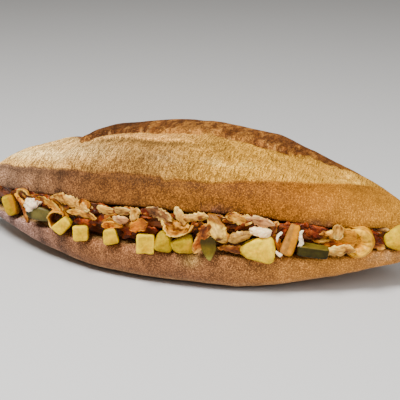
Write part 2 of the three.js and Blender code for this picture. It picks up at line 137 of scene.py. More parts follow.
# Chicken flakes: place along the roll, height, proud of the lip, length, breadth, thickness,
# heading, turn, curl, tone.
FLAKES = [
    (-92, 40.5, 2, 14, 6, 2.0, 0, 90, 170, "tan"),
    (-94, 29.5, 1, 17, 3, 1.6, -66, 0, 30, "umber"),
    (-96, 35.5, 1, 10, 3, 1.6, -30, 0, 0, "orange"),
    (-69.5, 39, 2, 18.5, 4.5, 1.8, -24, 0, 40, "gold"),
    (-64.6, 30.6, 4, 30, 8, 1.8, 62, 90, 285, "gold"),
    (-53.5, 43.5, 2, 24, 7, 2.4, -13, 0, 30, "pale"),
    (-46, 38, 2, 20.5, 4, 2.0, -4, 0, 50, "tan"),
    (-45.5, 33, 0, 15.5, 6, 2.4, 8, -20, 30, "red"),
    (-30.4, 43.2, 1, 11, 5, 2.8, -5, 0, -40, "pale"),
    (-20, 44.4, 1, 10, 4.5, 2.8, -2, 0, -40, "cream"),
    (-32.5, 37.5, 0, 8, 5, 2.6, 70, 0, 0, "red"),
    (-26.5, 35, 1, 12.5, 5, 2.2, 10, 0, 30, "orange"),
    (-21, 39.4, 2, 9, 4.5, 3.0, 0, 0, -40, "pink"),
    (-19.5, 33, -2, 10, 6.5, 3, -40, 0, 0, "red"),
    (-12, 43.4, 2, 8.5, 6, 2.6, 70, 0, -50, "pale"),
    (-9, 38, 3, 11.5, 6.5, 2.0, 25, 0, 40, "amber"),
    (-4.5, 34.5, 0, 11.5, 5, 2.4, 4, 0, 0, "red"),
    (2.5, 45.8, 1.5, 15, 6, 2.0, -20, 0, 30, "grey"),
    (12.5, 39, 4, 25, 10, 2.4, -4, -90, 150, "tan"),
    (12.5, 40.5, 1, 15, 7, 2.0, -4, -25, 30, "gold"),
    (14.5, 46, 2, 11, 5, 2.0, -62, 0, 20, "pale"),
    (23, 46, 2, 14.5, 5, 2.2, 12, 0, 20, "pale"),
    (27.5, 35.5, 4.6, 20, 6, 2.2, 64, 0, 40, "brown"),
    (35.6, 40.6, 3.5, 18, 9, 4.2, -60, 0, -70, "bright"),
    (47, 36.6, 3, 13.5, 6, 3.0, 18, 0, -40, "cream"),
    (46.5, 46.4, 1, 13.5, 6.5, 2.2, -12, 0, 20, "tan"),
    (57.5, 45.4, 2, 15, 5.5, 2.2, -12, 0, 20, "pink"),
    (64, 40, 1, 11, 4, 2.2, 65, 0, 0, "brown"),
    (66, 32, -1, 10, 4.5, 2.6, -65, 0, 0, "orange"),
    (70, 40, 0, 11, 3.5, 2.2, 65, 0, 0, "red"),
    (84.5, 38.5, 0, 12, 7.5, 3, -20, 0, 20, "red"),
    (92.5, 38, 2, 9.5, 5.5, 2.6, -4, 0, 30, "tan"),
    (97, 39.4, 3, 8, 6, 3, 80, 0, -40, "pale"),
    (107.6, 32.4, 4, 26.6, 12, 8, 90, -90, 240, "ochre"),
    (99, 29, 4, 16.5, 6, 2.6, 8, 0, 20, "pale"),
    (97.5, 31.8, 0.5, 20, 7.5, 2.6, 4, 0, 0, "orange"),
    (114, 36, 1, 16.5, 4.5, 2.4, -34, 0, 20, "red"),
    (117, 30.5, 1, 9, 5, 2.4, -20, 0, 0, "brown"),
]

# Three more strips, beside and inside the large curl and under the right cream flake: the same values,
# then seed and shade.
EXTRA_STRIPS = [
    (101.5, 36.5, 2.2, 13, 9, 3.0, -12, 0, 20, "ochre", 401, 0.66),
    (109.5, 33.0, 1.6, 11, 13, 2.4, 0, 0, 20, "ochre", 403, 1.0),
    (44.5, 28.6, 1.5, 17, 5, 2.0, -6, 0, 10, "umber", 402, 1.0),
]

# Rings along a strip and points round each, for the three and for small ones.
STRIP_GRID = (40, 24)
SMALL_GRID = (30, 18)

# Small strips: how many, where along the roll they start and how far they run, and their first seed.
SMALL_COUNT, SMALL_START, SMALL_RUN, SMALL_SEED = 118, -125, 243, 100
LIP_COUNT, LIP_START, LIP_RUN, LIP_SEED = 36, -94, 214, 300
LEFT_END = -97
DIM_GAPS = ((-44, -32), (38, 57), (112, ROLL_LENGTH / 2))
DIM_SHADE = 0.58
DEEP_LEVEL = 0.45
LIP_THICKNESS = 1.6
LIP_CURL = 20
LIP_SHADE = 0.8

# A flake bent past the first angle shows its inside, in painted shade; one turned past the second stands on
# edge.
RING_CURL = 160
EDGE_TURN = 45
# Share of the mouth's bend that a piece follows.
MOUTH_FOLLOW = 0.6
# How far apart the pieces of each kind lie in the noise.
FLAKE_STEP, POTATO_STEP, PICKLE_STEP, DAB_STEP = 31.7, 17.3, 13.1, 11.9

# Face and edge colours of the chicken, as linear light.
TONES = {
    "tan": ((0.459, 0.178, 0.0119), (0.696, 0.407, 0.063)),
    "pale": ((0.519, 0.237, 0.0296), (0.719, 0.474, 0.111)),
    "cream": ((0.385, 0.188, 0.032), (0.60, 0.38, 0.09)),
    "orange": ((0.52, 0.14, 0.0004), (0.70, 0.31, 0.01)),
    "amber": ((0.47, 0.115, 0.0), (0.6, 0.23, 0.0)),
    "bright": ((0.90, 0.52, 0.07), (0.42, 0.18, 0.014)),
    "red": ((0.125, 0.012, 0.0016), (0.33, 0.06, 0.006)),
    "brown": ((0.267, 0.063, 0.00519), (0.622, 0.281, 0.0333)),
    "umber": ((0.19, 0.045, 0.004), (0.40, 0.155, 0.016)),
    "pink": ((0.385, 0.163, 0.0519), (0.667, 0.4, 0.133)),
    "grey": ((0.165, 0.06, 0.017), (0.62, 0.35, 0.08)),
    "ochre": ((0.59, 0.24, 0.003), (0.73, 0.36, 0.012)),
    "gold": ((0.504, 0.2, 0.00889), (0.696, 0.407, 0.0519)),
}
# Share of the raggedness that the smoother tones keep; the others keep all of it.
CALM = {"ochre": 0.35, "bright": 0.55, "cream": 0.55, "pale": 0.75, "pink": 0.7}
OPEN_TONES = ["red", "red", "brown", "orange", "tan", "gold"]
DEEP_TONES = ["red", "red", "umber"]
LEFT_END_TONES = ["umber", "brown", "red"]
LIP_TONES = ["red", "red", "umber", "brown", "grey"]
AMBER_BROWNED = np.array((0.15, 0.035, 0.003))
BRIGHT_HEART = np.array((1.0, 0.62, 0.13))

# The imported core: its stations and reach, its gap to the slit's walls, how far its front stands back at the
# lower and upper lip, its ledge above the lower lip, and the points on each side of its section.
CORE_STATIONS = 150
CORE_SWING = 0.99
CORE_REACH = 0.9
CORE_GAP = 0.6
CORE_FRONT_LOW = 9
CORE_FRONT_HIGH = 2
CORE_LEDGE = 12.5
CORE_END_SHARE = 0.3
CORE_COUNTS = (10, 3, 3, 10, 22, 8, 22)
CORE_SMOOTHING = (0.15, 0.2, 0.3, 0.2, 0.15)
# Dark red meat colour, partly painted shade for the depth of the mouth.
CORE_MEAT = np.array((0.111, 0.0252, 0.00667))

# Potato pieces: place, height, proud, width, tallness, depth, heading, pan, taper, wedge, softness of edges.
POTATOES = [
    (-105, 29.5, 3.5, 7.8, 12.6, 7, 20, 26, 0.1, 0, 0.42),
    (-60.6, 28.3, 5, 10.3, 7, 8, 43, 28, 0.05, -0.08, 0.32),
    (-47.8, 26.3, 5, 8.8, 8.8, 8, 3, 26, 0.06, 0, 0.32),
    (-28, 28, 4, 8.2, 8.8, 8, 10, 24, -0.12, 0.05, 0.38),
    (-5.8, 27.2, 4.5, 9.8, 10.8, 8, -2, 18, 0.0, 0, 0.2),
    (4.6, 29, 3, 10, 11, 8, -12, 18, -0.15, -0.08, 0.6),
    (15.8, 28.8, 3.5, 12.8, 9.4, 8, 14, 12, 0.1, 0.3, 0.55),
    (56.5, 29, 5, 18.5, 12.5, 9, 2, 4, -0.05, 0.5, 0.5),
    (73.5, 35, 4, 7, 18, 7, -17, 2, -0.06, 0, 0.45),
    (126.5, 33, 4, 13, 13, 8, 8, -8, 0.08, 0.4, 0.65),
]
LEFT_POTATO, BIG_CHUNK, TALL_FRY = 1, 8, 9
POTATO_LEAN = -12
POTATO_FLESH = np.array((0.465, 0.288, 0.0003))
POTATO_BROWNED = np.array((0.37, 0.178, 0.0005))
POTATO_EDGE = np.array((0.74, 0.52, 0.03))
FRY_FLESH = np.array((0.49, 0.18, 0.0001))
FRY_SIDE = np.array((0.31, 0.13, 0.022))
CHUNK_SIDE = np.array((0.21, 0.105, 0.004))
LEFT_SIDE = np.array((0.33, 0.115, 0.002))
# How much lighter or deeper each piece is than the flesh colour; the fry has its own.
LIGHT_CUBE = (1.13, 1.11, 0.5)
DULL_CUBE = (0.8, 0.8, 1.0)
POTATO_SCALES = [
    (0.78, 0.76, 0.2), LIGHT_CUBE, LIGHT_CUBE, LIGHT_CUBE, LIGHT_CUBE,
    DULL_CUBE, DULL_CUBE, (1.45, 1.5, 1.0), (1.0, 1.0, 1.0), LIGHT_CUBE,
]

# Pickle pieces: place, height, proud, width, tallness, depth, heading, pan.
PICKLES = [
    (-78.5, 31, 3, 17, 8.5, 3.5, -8, 22),
    (31, 29, 3.6, 8.5, 14, 3.2, 4, 6),
    (85, 28.5, 4.5, 17, 6, 8.5, -6, 0),
]
LEFT_SLICE, HANGING_SLICE, SKINNED_SLAB = 1, 2, 3
PICKLE_EDGES = (0.8, 0.35, 0.25)
PICKLE_GRID = (40, 80)
PICKLE_FLESH = np.array(((0.104, 0.081, 0.019), (0.115, 0.0741, 0.0037), (0.111, 0.0741, 0.00741)))
PICKLE_SKIN = np.array((0.021, 0.0155, 0.0012))
SLICE_SHADED = np.array((0.034, 0.02, 0.002))
SLICE_POINT = np.array((0.311, 0.267, 0.037))

# Sauce dabs: place, height, proud, width, tallness, depth, heading.
SAUCES = [
    (-83.5, 35.8, 5, 9, 7.6, 7, 20),
    (57.2, 39, 4, 11, 5.4, 7, -8),
    (78.6, 35.8, 4, 3, 9, 5, -14),
    (68.2, 27.4, 4.8, 3.6, 2.0, 5, 0),
    (67.4, 37.0, 3, 1.6, 5.2, 5, -24),
]
LEFT_DAB, WARM_DAB = 1, 2
THIN_DAB = 5
DAB_EDGE = 0.85
DAB_GRID = (36, 64)
SAUCE_WHITE = np.array((0.97, 0.72, 0.46))
SAUCE_WARM = np.array((0.99, 0.66, 0.34))

# Large odd numbers that scatter a lattice point and a seed into a code, and masks of 32 and 16 bits.
LATTICE_STEPS = (374761393, 668265263, 1440662683)
SEED_STEP = 974711
STIR = 1274126177
WORD = 0xFFFFFFFF
HALF_WORD = 0xFFFF


def hill(x, middle, reach):
    """A bell of height 1: e to the minus ((x - middle) / reach) squared."""
    return np.exp(-(((x - middle) / reach) ** 2))


def hills(x, bells):
    """The sum of bells, each given by its height, middle and reach."""
    return sum(height * hill(x, middle, reach) for height, middle, reach in bells)


def ramp(x, low, high):
    """0 below low, 1 above high, and the smooth cubic 3t^2 - 2t^3 between."""
    t = np.clip((x - low) / (high - low), 0, 1)
    return t * t * (3 - 2 * t)


def fade(distance, reach):
    """1 up to distance 0, then e to the minus distance / reach."""
    return np.exp(-np.maximum(distance, 0) / reach)


def steps(count):
    """Even steps from 0 to 1, as one row."""
    return np.linspace(0, 1, count)[None, :]


def mix(a, b, share):
    """a where share is 0, b where it is 1, with share per point."""
    return a + (b - a) * np.asarray(share)[..., None]


def lit(tint, share, by):
    """A tint scaled by 1 plus a share per point of a change in red, green and blue."""
    return tint * (1 + share[..., None] * np.array(by))


def noise(points, size, seed):
    """Smooth noise from -1 to 1: hashed values on a cubic lattice of that size, blended across each
    cell."""
    scaled = np.asarray(points, float) / size
    cell = np.floor(scaled).astype(np.int64)
    part = scaled - cell
    part = part * part * (3 - 2 * part)
    total = np.zeros(scaled.shape[:-1])
    for corner in np.ndindex(2, 2, 2):
        at = cell + np.array(corner)
        code = seed * SEED_STEP + sum(at[..., k] * step for k, step in enumerate(LATTICE_STEPS)) & WORD
        code = (code ^ (code >> 13)) * STIR & WORD
        value = ((code ^ (code >> 16)) & HALF_WORD) / (HALF_WORD / 2) - 1
        total += value * np.prod(np.where(np.array(corner) == 1, part, 1 - part), axis=-1)
    return total


def layers(points, *rows):
    """A sum of noise: each row gives an amount, a size, a seed and, where it is drawn out, a scale of the
    points."""
    total = 0
    for amount, size, seed, *scale in rows:
        total = total + amount * noise(points * scale[0] if scale else points, size, seed)
    return total


def smoothed(values, weights):
    """Values round each ring, averaged with their two neighbours on either side by five weights."""
    return sum(w * np.roll(values, k, 1) for k, w in zip(range(-2, 3), weights))


def guides(x):
    """Half-width and guiding heights of the roll at x, the same curves as the solid's: the plan is a
    rounded lens, the crest a blunter one, and the lips run level and close towards the tips."""
    u = x / (ROLL_LENGTH / 2)
    soft = 0.1
    away = np.minimum(1, (np.hypot(u, soft) - soft) / (np.hypot(1, soft) - soft))
    plan = (1 - away ** 1.67) ** 0.87 + 0.12 * away ** 4 * np.sqrt(1 - away * away)
    close = np.sqrt(1 - away ** 10)
    lower = LOWER_LIP_HEIGHT + LOWER_LIP_SLANT * u + hills(x, LOWER_LIP_WAVES)
    upper = UPPER_LIP_HEIGHT - UPPER_LIP_DROP * away ** 1.6 + hills(x, UPPER_LIP_WAVES)
    lower = TIP_HEIGHT + (lower - TIP_HEIGHT) * close
    upper = TIP_HEIGHT + (upper - TIP_HEIGHT) * close
    crest = TIP_HEIGHT + (ROLL_HEIGHT - TIP_HEIGHT) * (1 - away ** 1.28) ** 0.58
    keel = np.maximum(0, (away - FLAT_SHARE) / (1 - FLAT_SHARE)) ** 1.3
    return SimpleNamespace(
        plan=plan,
        half=ROLL_HALF_WIDTH * plan,
        bottom=(TIP_HEIGHT - KEEL_DROP) * keel,
        crest=crest + hills(x, CREST_WAVES) * close,
        crest_y=CREST_SET_BACK * plan,
        lower=lower,
        upper=upper,
        hinge=lower + HINGE_SHARE * (upper - lower),
    )


def ear_line(x, plan):
    """Where the split crust's raised back border runs, as y at each x: a slant with waves, closing at the
    tips."""
    return plan * (1 + 0.015 * x + hills(x, EAR_LINE_WAVES))


def pale_line(x, half):
    """Where the pale split meets the brown front crust, as y at each x: a flat-topped bow across the
    roll."""
    middle, left_run, right_run = -15, 130, 121
    s = np.where(x > middle, (x - middle) / right_run, (middle - x) / left_run)
    bow = -PALE_FRONT_SHARE * half * (1 - np.minimum(s, 1.2) ** 4.5)
    return bow + hills(x, PALE_LINE_WAVES) - 1.3 * (1 - ramp(x, -102, -86))


def arc(y0, z0, y1, z1, power, t):
    """Quarter superellipse from upright at (y0, z0) to level at (y1, z1), as t goes from 0 to 1."""
    across = np.maximum(0, np.cos(t * np.pi / 2)) ** (2 / power)
    up = np.maximum(0, np.sin(t * np.pi / 2)) ** (2 / power)
    return y1 + (y0 - y1) * across, z0 + (z1 - z0) * up


def ended(values):
    """Per-ring values flattened, with the means of the first and the last ring added for the two ends."""
    flat = values.reshape(-1, values.shape[-1])
    return np.concatenate([flat, values[0].mean(0)[None], values[-1].mean(0)[None]])


def tube(rings):
    """A closed surface from rings[i, j]: four-sided faces between neighbouring rings, a fan to the middle
    of each end, turned to face outwards by the sign of its volume."""
    stations, around, _ = rings.shape
    points = ended(rings)
    number = np.arange(stations * around).reshape(stations, around)
    beside = np.roll(number, -1, 1)
    quads = np.stack([number[:-1], beside[:-1], beside[1:], number[1:]], -1).reshape(-1, 4)
    first_end = np.full(around, stations * around)
    first = np.stack([first_end, beside[0], number[0]], -1)
    last = np.stack([first_end + 1, number[-1], beside[-1]], -1)
    fans = np.concatenate([first, last])
    corners = np.concatenate([quads[:, :3], quads[:, [0, 2, 3]], fans])
    a, b, c = (points[corners[:, k]] - points[0] for k in range(3))
    if np.einsum("ij,ij->", a, np.cross(b, c)) < 0:
        quads, fans = quads[:, ::-1], fans[:, ::-1]
    return points, quads, fans


def joined_mesh(name, parts):
    """One mesh from the closed surfaces of parts, each its rings, tint and, where its material reads it,
    grain, with tint and grain as attributes."""
    surfaces = [tube(rings) for rings, *_ in parts]
    first = np.cumsum([0] + [len(p) for p, _, _ in surfaces])
    points = np.concatenate([p for p, _, _ in surfaces])
    quads = np.concatenate([q + start for (_, q, _), start in zip(surfaces, first)])
    fans = np.concatenate([f + start for (_, _, f), start in zip(surfaces, first)])
    tints = np.concatenate([ended(tint) for _, tint, *_ in parts])
    grains = [ended(grain) for _, _, *given in parts for grain in given]
    mesh = bpy.data.meshes.new(name)
    mesh.vertices.add(len(points))
    mesh.vertices.foreach_set("co", (points * MM).astype(np.float32).ravel())
    corners = np.concatenate([quads.ravel(), fans.ravel()])
    mesh.loops.add(len(corners))
    mesh.loops.foreach_set("vertex_index", corners.astype(np.int32))
    starts = np.concatenate([np.arange(len(quads)) * 4, len(quads) * 4 + np.arange(len(fans)) * 3])
    mesh.polygons.add(len(starts))
    mesh.polygons.foreach_set("loop_start", starts.astype(np.int32))
    mesh.polygons.foreach_set("use_smooth", np.ones(len(starts), bool))
    mesh.update(calc_edges=True)
    colour = np.ones((len(points), 4), np.float32)
    colour[:, :3] = np.clip(tints, 0, 1)
    mesh.attributes.new("tint", "FLOAT_COLOR", "POINT").data.foreach_set("color", colour.ravel())
    if grains:
        grain = np.concatenate(grains).astype(np.float32)
        mesh.attributes.new("grain", "FLOAT_VECTOR", "POINT").data.foreach_set("vector", grain.ravel())
    mesh.validate()
    return mesh


def piece(name, parts, material, nodes):
    """One object joined from parts of rings, tint and grain, standing for the named solids."""
    mesh = joined_mesh(name, parts)
    mesh.materials.append(material)
    obj = bpy.data.objects.new(name, mesh)
    bpy.context.scene.collection.objects.link(obj)
    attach(obj, "root")
    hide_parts(*nodes)


def plain_roll():
    """The roll before its relief: a C-shaped ring of superellipse arcs, with straight walls in the slit,
    swept along x. Gives its points, their coordinates and guides, and the arc (zone) of each point of the
    ring."""
    swing = np.linspace(-1, 1, ROLL_STATIONS) * np.arcsin(ROLL_REACH)
    x = (ROLL_LENGTH / 2 * np.sin(swing))[:, None]
    g = guides(x)
    rest, inner = FLAT_HALF_SHARE * g.half, SLOT_DEPTH_SHARE * g.half
    opening = SLOT_BACK_SHARE * (g.upper - g.lower)
    lip = -UPPER_LIP_SHARE * g.half
    share = np.linspace(-1, 1, BOTTOM_POINTS)[None, 1:-1]
    inwards = steps(SLOT_POINTS)[:, 1:]
    outwards = inwards[:, ::-1]
    back_low = arc(g.half, g.hinge, rest, g.bottom, LOWER_POWER, steps(BACK_LOW_POINTS))
    back_top = arc(g.half, g.hinge, g.crest_y, g.crest, BACK_POWER, steps(BACK_TOP_POINTS))
    front_top = arc(lip, g.upper, g.crest_y, g.crest, FRONT_POWER, steps(FRONT_TOP_POINTS))
    arcs = [
        arc(-g.half, g.lower, -rest, g.bottom, LOWER_POWER, steps(FRONT_LOW_POINTS)),
        (rest * share, g.bottom + 0 * share),
        [a[:, ::-1] for a in back_low],
        [a[:, 1:] for a in back_top],
        [a[:, ::-1][:, 1:] for a in front_top],
        (lip + (inner - lip) * inwards, g.upper + (g.hinge + opening / 2 - g.upper) * inwards),
        (inner + opening * SLOT_END_SHARE, g.hinge),
        (-g.half + (inner + g.half) * outwards, g.lower + (g.hinge - opening / 2 - g.lower) * outwards),
    ]
    y, z = (smoothed(np.concatenate([a[k] for a in arcs], 1), ROLL_SMOOTHING) for k in (0, 1))
    zone = np.concatenate([np.full(a[0].shape[1], k) for k, a in enumerate(arcs)])[None, :]
    x = x + 0 * y
    return SimpleNamespace(points=np.stack([x, y, z], -1), x=x, y=y, z=z, g=g, lip=lip, zone=zone)


def mark_split(roll):
    """Marks the roll's split top. Distances in y behind four lines: the ear's (behind), the split's front
    border (border), its back border (past) and its fold (fold_at). Shares from 0 to 1: the ear, the plain
    ends, the pale split, its fold and the brown cap behind it."""
    x, y, g, p = roll.x, roll.y, roll.g, roll.points
    wobble = layers(p, (1.3, 9, 3, DRAWN), (0.6, 3.5, 4, DRAWN))
    line = ear_line(x, g.plan)
    roll.upper_half = np.isin(roll.zone, (BACK_TOP, FRONT_TOP))
    roll.top = roll.upper_half & (roll.z > 0.5 * (g.upper + g.crest))
    roll.behind = y - line - wobble
    roll.ear = ramp(x, -72, -60) * (1 - ramp(x, 84, 112))
    roll.ends = np.maximum(1 - ramp(x, -84, -62), ramp(x, 78, 108))
    roll.border = y - pale_line(x, g.half) - layers(p, (0.4, 14, 6), (0.35, 2.5, 7)) + 0.9 * hill(x, 5, 2.5)
    split_back = line - 2 + 6.5 * ramp(x, 55, 82) + hills(x, SPLIT_BACK_WAVES)
    at_ends = np.minimum(SPLIT_END_SHARE * g.half, SPLIT_END_BACK)
    roll.past = y - (split_back + (at_ends - split_back) * roll.ends + wobble)
    brown = ramp(roll.past, -0.6, 0.8)
    front_edge = ramp(roll.border, -0.3, 0.7 + 2 * ramp(x, 20, 80))
    roll.pale = front_edge * (1 - brown) * roll.upper_half
    roll.cap = brown * roll.upper_half * (y > -20)
    roll.fold_at = roll.behind + 18 + 0.06 * x
    roll.fold = ramp(x, -62, -44) * (1 - ramp(x, 0, 22)) * roll.pale


def outward(roll):
    """Unit normals of the plain roll: the step along it crossed with the step round its ring, facing away
    from its middle line."""
    p, g = roll.points, roll.g
    around = (np.roll(p, -1, 1) - np.roll(p, 1, 1)) / 2
    normal = np.cross(np.gradient(p, axis=0), around)
    normal /= np.linalg.norm(normal, axis=-1, keepdims=True) + 1e-9
    middle = np.stack([roll.x, 0 * roll.x, 0.5 * (g.crest + g.bottom) + 0 * roll.x], -1)
    outside = np.sum(normal * (p - middle), -1)[:, roll.zone[0] <= FRONT_TOP]
    return normal if np.mean(outside) >= 0 else -normal


def ear_lift(roll):
    """How far the ear stands up: a dip before its line and a rise behind it, both fading, torn by noise,
    and a raised tip at its left end."""
    behind = roll.behind
    step = ramp(behind, -0.7, 0.7)
    rise = (1 - step) * -EAR_DIP * fade(-behind, 6) + step * EAR_RISE * fade(behind, 8)
    torn = 0.7 * noise(roll.points, 2.6, 5) * fade(np.abs(behind), 6)
    tip = EAR_TIP_RISE * hill(roll.x, -67, 5) * ramp(behind, 0, 6) * (1 - ramp(behind, 22, 36))
    return np.where(roll.top, roll.ear * (rise + torn) + tip, 0)


def roll_relief(roll, normal):
    """The roll's points moved along their normals by wrinkles, the split's ledge and its fold, then
    raised by the ear and by the torn edge of the upper lip, with none below z = 0."""
    x, z, zone, g, p = roll.x, roll.z, roll.zone, roll.g, roll.points
    ledge = np.where(roll.border > 0, 0.5 * fade(roll.border, 4), -0.45 * fade(-roll.border, 3))
    ledge = ledge * (zone == FRONT_TOP) * (1 - ramp(x, 70, 100)) * ramp(z - g.upper, 2, 8)
    ridge = FOLD_RISE * roll.fold * ramp(roll.fold_at, -0.8, 0.5) * fade(roll.fold_at, 7)
    ear_skin = ramp(roll.behind, -0.5, 1.5) * roll.upper_half * roll.ear * ramp(25 - roll.behind, 0, 15)
    wrinkles = layers(p, (0.45, 16, 1), (0.2, 6, 2), (0.07 + 0.1 * roll.pale, 1.7, 8, HALVED))
    wrinkles = wrinkles + ear_skin * layers(p, (0.5, 4.5, 9), (0.5, 2.0, 10, HALVED))
    resting = (z < 0.6) & (zone <= BACK_LOW)
    wrinkles = np.where(resting, 0, wrinkles) * np.minimum(1, g.plan * 4) * (zone <= FRONT_TOP)
    p = p + normal * (wrinkles + ledge + ridge)[..., None]
    at_lip = np.isin(zone, (FRONT_TOP, CEILING)) * fade(np.hypot(roll.y - roll.lip, z - g.upper), 1.6)
    ragged = layers(p, (0.7, 2.2, 71, DRAWN), (0.5, 1.1, 72, DRAWN))
    p[..., 2] += ear_lift(roll) + at_lip * np.minimum(1, g.plan * 3) * ragged
    p[..., 2] = np.maximum(p[..., 2], 0)
    return p


def brown_crust(roll, p, patch):
    """Colour of the front, back and lower crust: listed colours along the roll, with painted shade under the
    pale split's border, darker at the lip, with patches, upright bands and a glow at the right tip."""
    x, z, zone, g, border = roll.x, roll.z, roll.zone, roll.g, roll.border
    place, *colours = FRONT.T
    front = np.stack([np.interp(x, place, colour) for colour in colours], -1)
    low = mix(mix(LOW[0], LOW[1], ramp(x, -125, -38)), LOW[2], ramp(x, 15, 105))
    back_share = np.where(np.isin(zone, (BACK_LOW, BACK_TOP)), ramp(z - g.hinge, -12, 12), 0.0)
    upper_share = np.where(zone == FRONT_TOP, 1.0, back_share)
    # Painted shade under the pale split's border, deepest in a narrow band just below it at the left.
    under_border = 0.25 * fade(-border, 6) * (border < 0)
    scorched = 0.4 * fade(np.abs(border + 1.8), 1.9) * (1 - ramp(x, -10, 45))
    at_lip = (0.22 + 0.2 * noise(p, 9, 16)) * ramp(z - g.upper, 7, 1)
    dark = 1 - (under_border + scorched + at_lip) * (zone == FRONT_TOP)
    unevenness = 0.3 - 0.3 * ramp(x, -75, -35) + 0.1 * ramp(x, 30, 60)
    bands = 1 + unevenness * noise(p * BANDED, 7, 39) + hills(x, FRONT_BANDS)
    glow = mix(np.ones(3), RIGHT_TIP_GLOW, ramp(x, 95, 138) * upper_share)
    return mix(low, front, upper_share) * (dark * patch * bands)[..., None] * glow


def ear_crust(roll, p, patch):
    """Colour of the ear: its skin browned to crisp by streaks of noise and towards its ends, with light
    flecks."""
    x, behind = roll.x, roll.behind
    baked = layers(p, (1.0, 3.0, 17, STREAKED), (1.0, 1.5, 18, BLISTERED)) + 0.75 * np.abs(x + 5) / 70
    baked = baked + hills(x, BAKED_PLACES) + 0.3 * ramp(behind, 1, 10)
    tint = mix(EAR_SKIN * patch[..., None], EAR_CRISP, 0.85 * ramp(baked, 0.1, 0.9))
    tint = tint * (1 + hills(x, EAR_SHADE))[..., None]
    fleck = ramp(noise(p * FLECKED, 1.4, 36), 0.4, 0.75) * ramp(12 - behind, 0, 10)
    return mix(tint, EAR_FLECK, 0.5 * fleck)


def pale_flour(roll, p):
    """Colour of the pale split: flour from left to right with soft blotches, a painted gleam along its left
    part with painted shade around it and towards its front border, golden near its front border, dusted in
    the middle, a painted highlight behind its fold and painted shade before it, and a painted highlight with
    light specks at the right."""
    x, border, fold_at = roll.x, roll.border, roll.fold_at
    tint = mix(mix(FLOUR[0], FLOUR[1], ramp(x, -115, -12)), FLOUR[2], ramp(x, -15, 58))
    tint = tint * (1 + layers(p, (0.2, 9, 13, np.array((0.6, 1, 1))), (0.14, 3, 14)))[..., None]
    # Painted highlight near the right end.
    tint = lit(tint, 0.35 * hill(x, 100, 14), (1, 1.15, 1.7))
    # Painted gleam along the left part, with painted shade around it and towards the front border.
    gleam = hill(border, 13, 6.5)[..., None] * (0.3, 0.42, 0.62) - (0.08, 0.14, 0.22)
    foot = fade(border, 9)[..., None] * (0.12, 0.2, 0.28)
    tint = tint * (1 + (1 - ramp(x, -40, 5))[..., None] * (gleam - foot))
    golden = fade(border, 8) * (1 - ramp(x, 20, 70)) * (0.75 + 0.5 * noise(p, 12, 27))
    tint = lit(tint, -np.clip(golden, 0, 1), (0.34, 0.38, 0.5))
    dust = ramp(noise(p * (0.5, 1, 1), 4.5, 76), -0.2, 0.5) * hill(border, 11, 4.5)
    tint = lit(tint, dust * ramp(x, -18, 0) * (1 - ramp(x, 40, 62)), (0.08, 0.25, 0.9))
    # Painted highlight behind the fold and painted shade just before it.
    crown = 0.6 + 0.7 * fade(fold_at, 4) + 0.75 * hill(x, -12, 14)
    bright = 1 + roll.fold * (ramp(fold_at, -0.5, 0.3) * crown - 0.42 * hill(fold_at, -2.2, 2.6))
    specks = ramp(noise(p, 1.8, 73), 0.0, 0.5) * hill(x, 98, 9) * hill(roll.y, -1, 6)
    return tint * (bright[..., None] + specks[..., None] * (1.0, 1.3, 2.4))


def stained(tint, roll, p):
    """The crust's tint with dark reddish patches at the upper lip, and what the filling left on the lower
    lip: a smear of cream, a wet sheen and grease."""
    x, z, g = roll.x, roll.z, roll.g
    upper_lip = ramp(z - g.upper, 9, 1) * (roll.zone == FRONT_TOP)
    lower_lip = hill(z, g.lower - 3, 5) * (roll.zone == FRONT_LOW)
    lip_edge = ramp(z - g.lower, -5, -1) * (roll.zone == FRONT_LOW)
    marks = (
        (SAUCE_STAIN, hills(x, STAIN_PLACES) * upper_lip * (1 + noise(p, 3, 74))),
        (CREAM_SMEAR, 0.55 * hill(x, 20, 5) * lower_lip * (1 + 0.6 * noise(p, 3, 19))),
        (WET_SHEEN, 0.3 * hill(x, 122, 9) * lower_lip * (1 + noise(p, 3, 37))),
        (GREASE, 0.6 * hill(x, 45, 8) * lip_edge),
    )
    for colour, share in marks:
        tint = mix(tint, colour, np.clip(share, 0, 1))
    return tint


def roll_surface():
    """The crust: the plain roll with its relief, and its colours laid over each other from the brown
    crust to the crumb in the slit. Its grain holds the pale share, the strength of the speckle and the
    ear's share."""
    roll = plain_roll()
    mark_split(roll)
    normal = outward(roll)
    p = roll_relief(roll, normal)
    x, behind, zone, ends = roll.x, roll.behind, roll.zone, roll.ends
    patch = 1 + layers(p, (0.16, 11, 11), (0.14, 4, 12))
    tint = brown_crust(roll, p, patch)
    cap_share = roll.cap * (1 - 0.75 * ramp(behind, 26, 44)) * (1 - 0.8 * ends)
    tint = mix(tint, ear_crust(roll, p, patch), cap_share)
    tint = mix(tint, pale_flour(roll, p), roll.pale * (1 - 0.35 * ramp(x, 80, 115)))
    tint = stained(tint, roll, p)
    crisp = roll.ear * fade(np.abs(roll.past - 0.8), 1.4) * roll.top * ramp(np.abs(x - 5), 30, 55)
    tint = mix(tint, EAR_CRISP, np.clip(crisp * (0.8 + 0.4 * noise(p, 2.2, 15)), 0, 1))
    # Painted reflected light from the floor on the downward-facing lower crust.
    tint = mix(tint, UNDERSIDE, 0.55 * ramp(-normal[..., 2], 0.55, 0.95) * (zone <= BACK_LOW))
    tint = mix(tint, CRUMB, zone > FRONT_TOP)
    speckle = 1.35 - 0.6 * ramp(x, -60, 100) + 0.3 * hill(x, 42, 28) - 0.12 * ramp(x, 60, 110)
    speckle = speckle + roll.pale * (1.5 - 1.5 * ramp(x, -75, -15) - 0.35 * ramp(x, -45, 40))
    ear_share = roll.cap * ramp(30 - behind, 0, 12) * (1 - ends)
    return p, tint, np.stack([roll.pale, speckle, ear_share], -1)


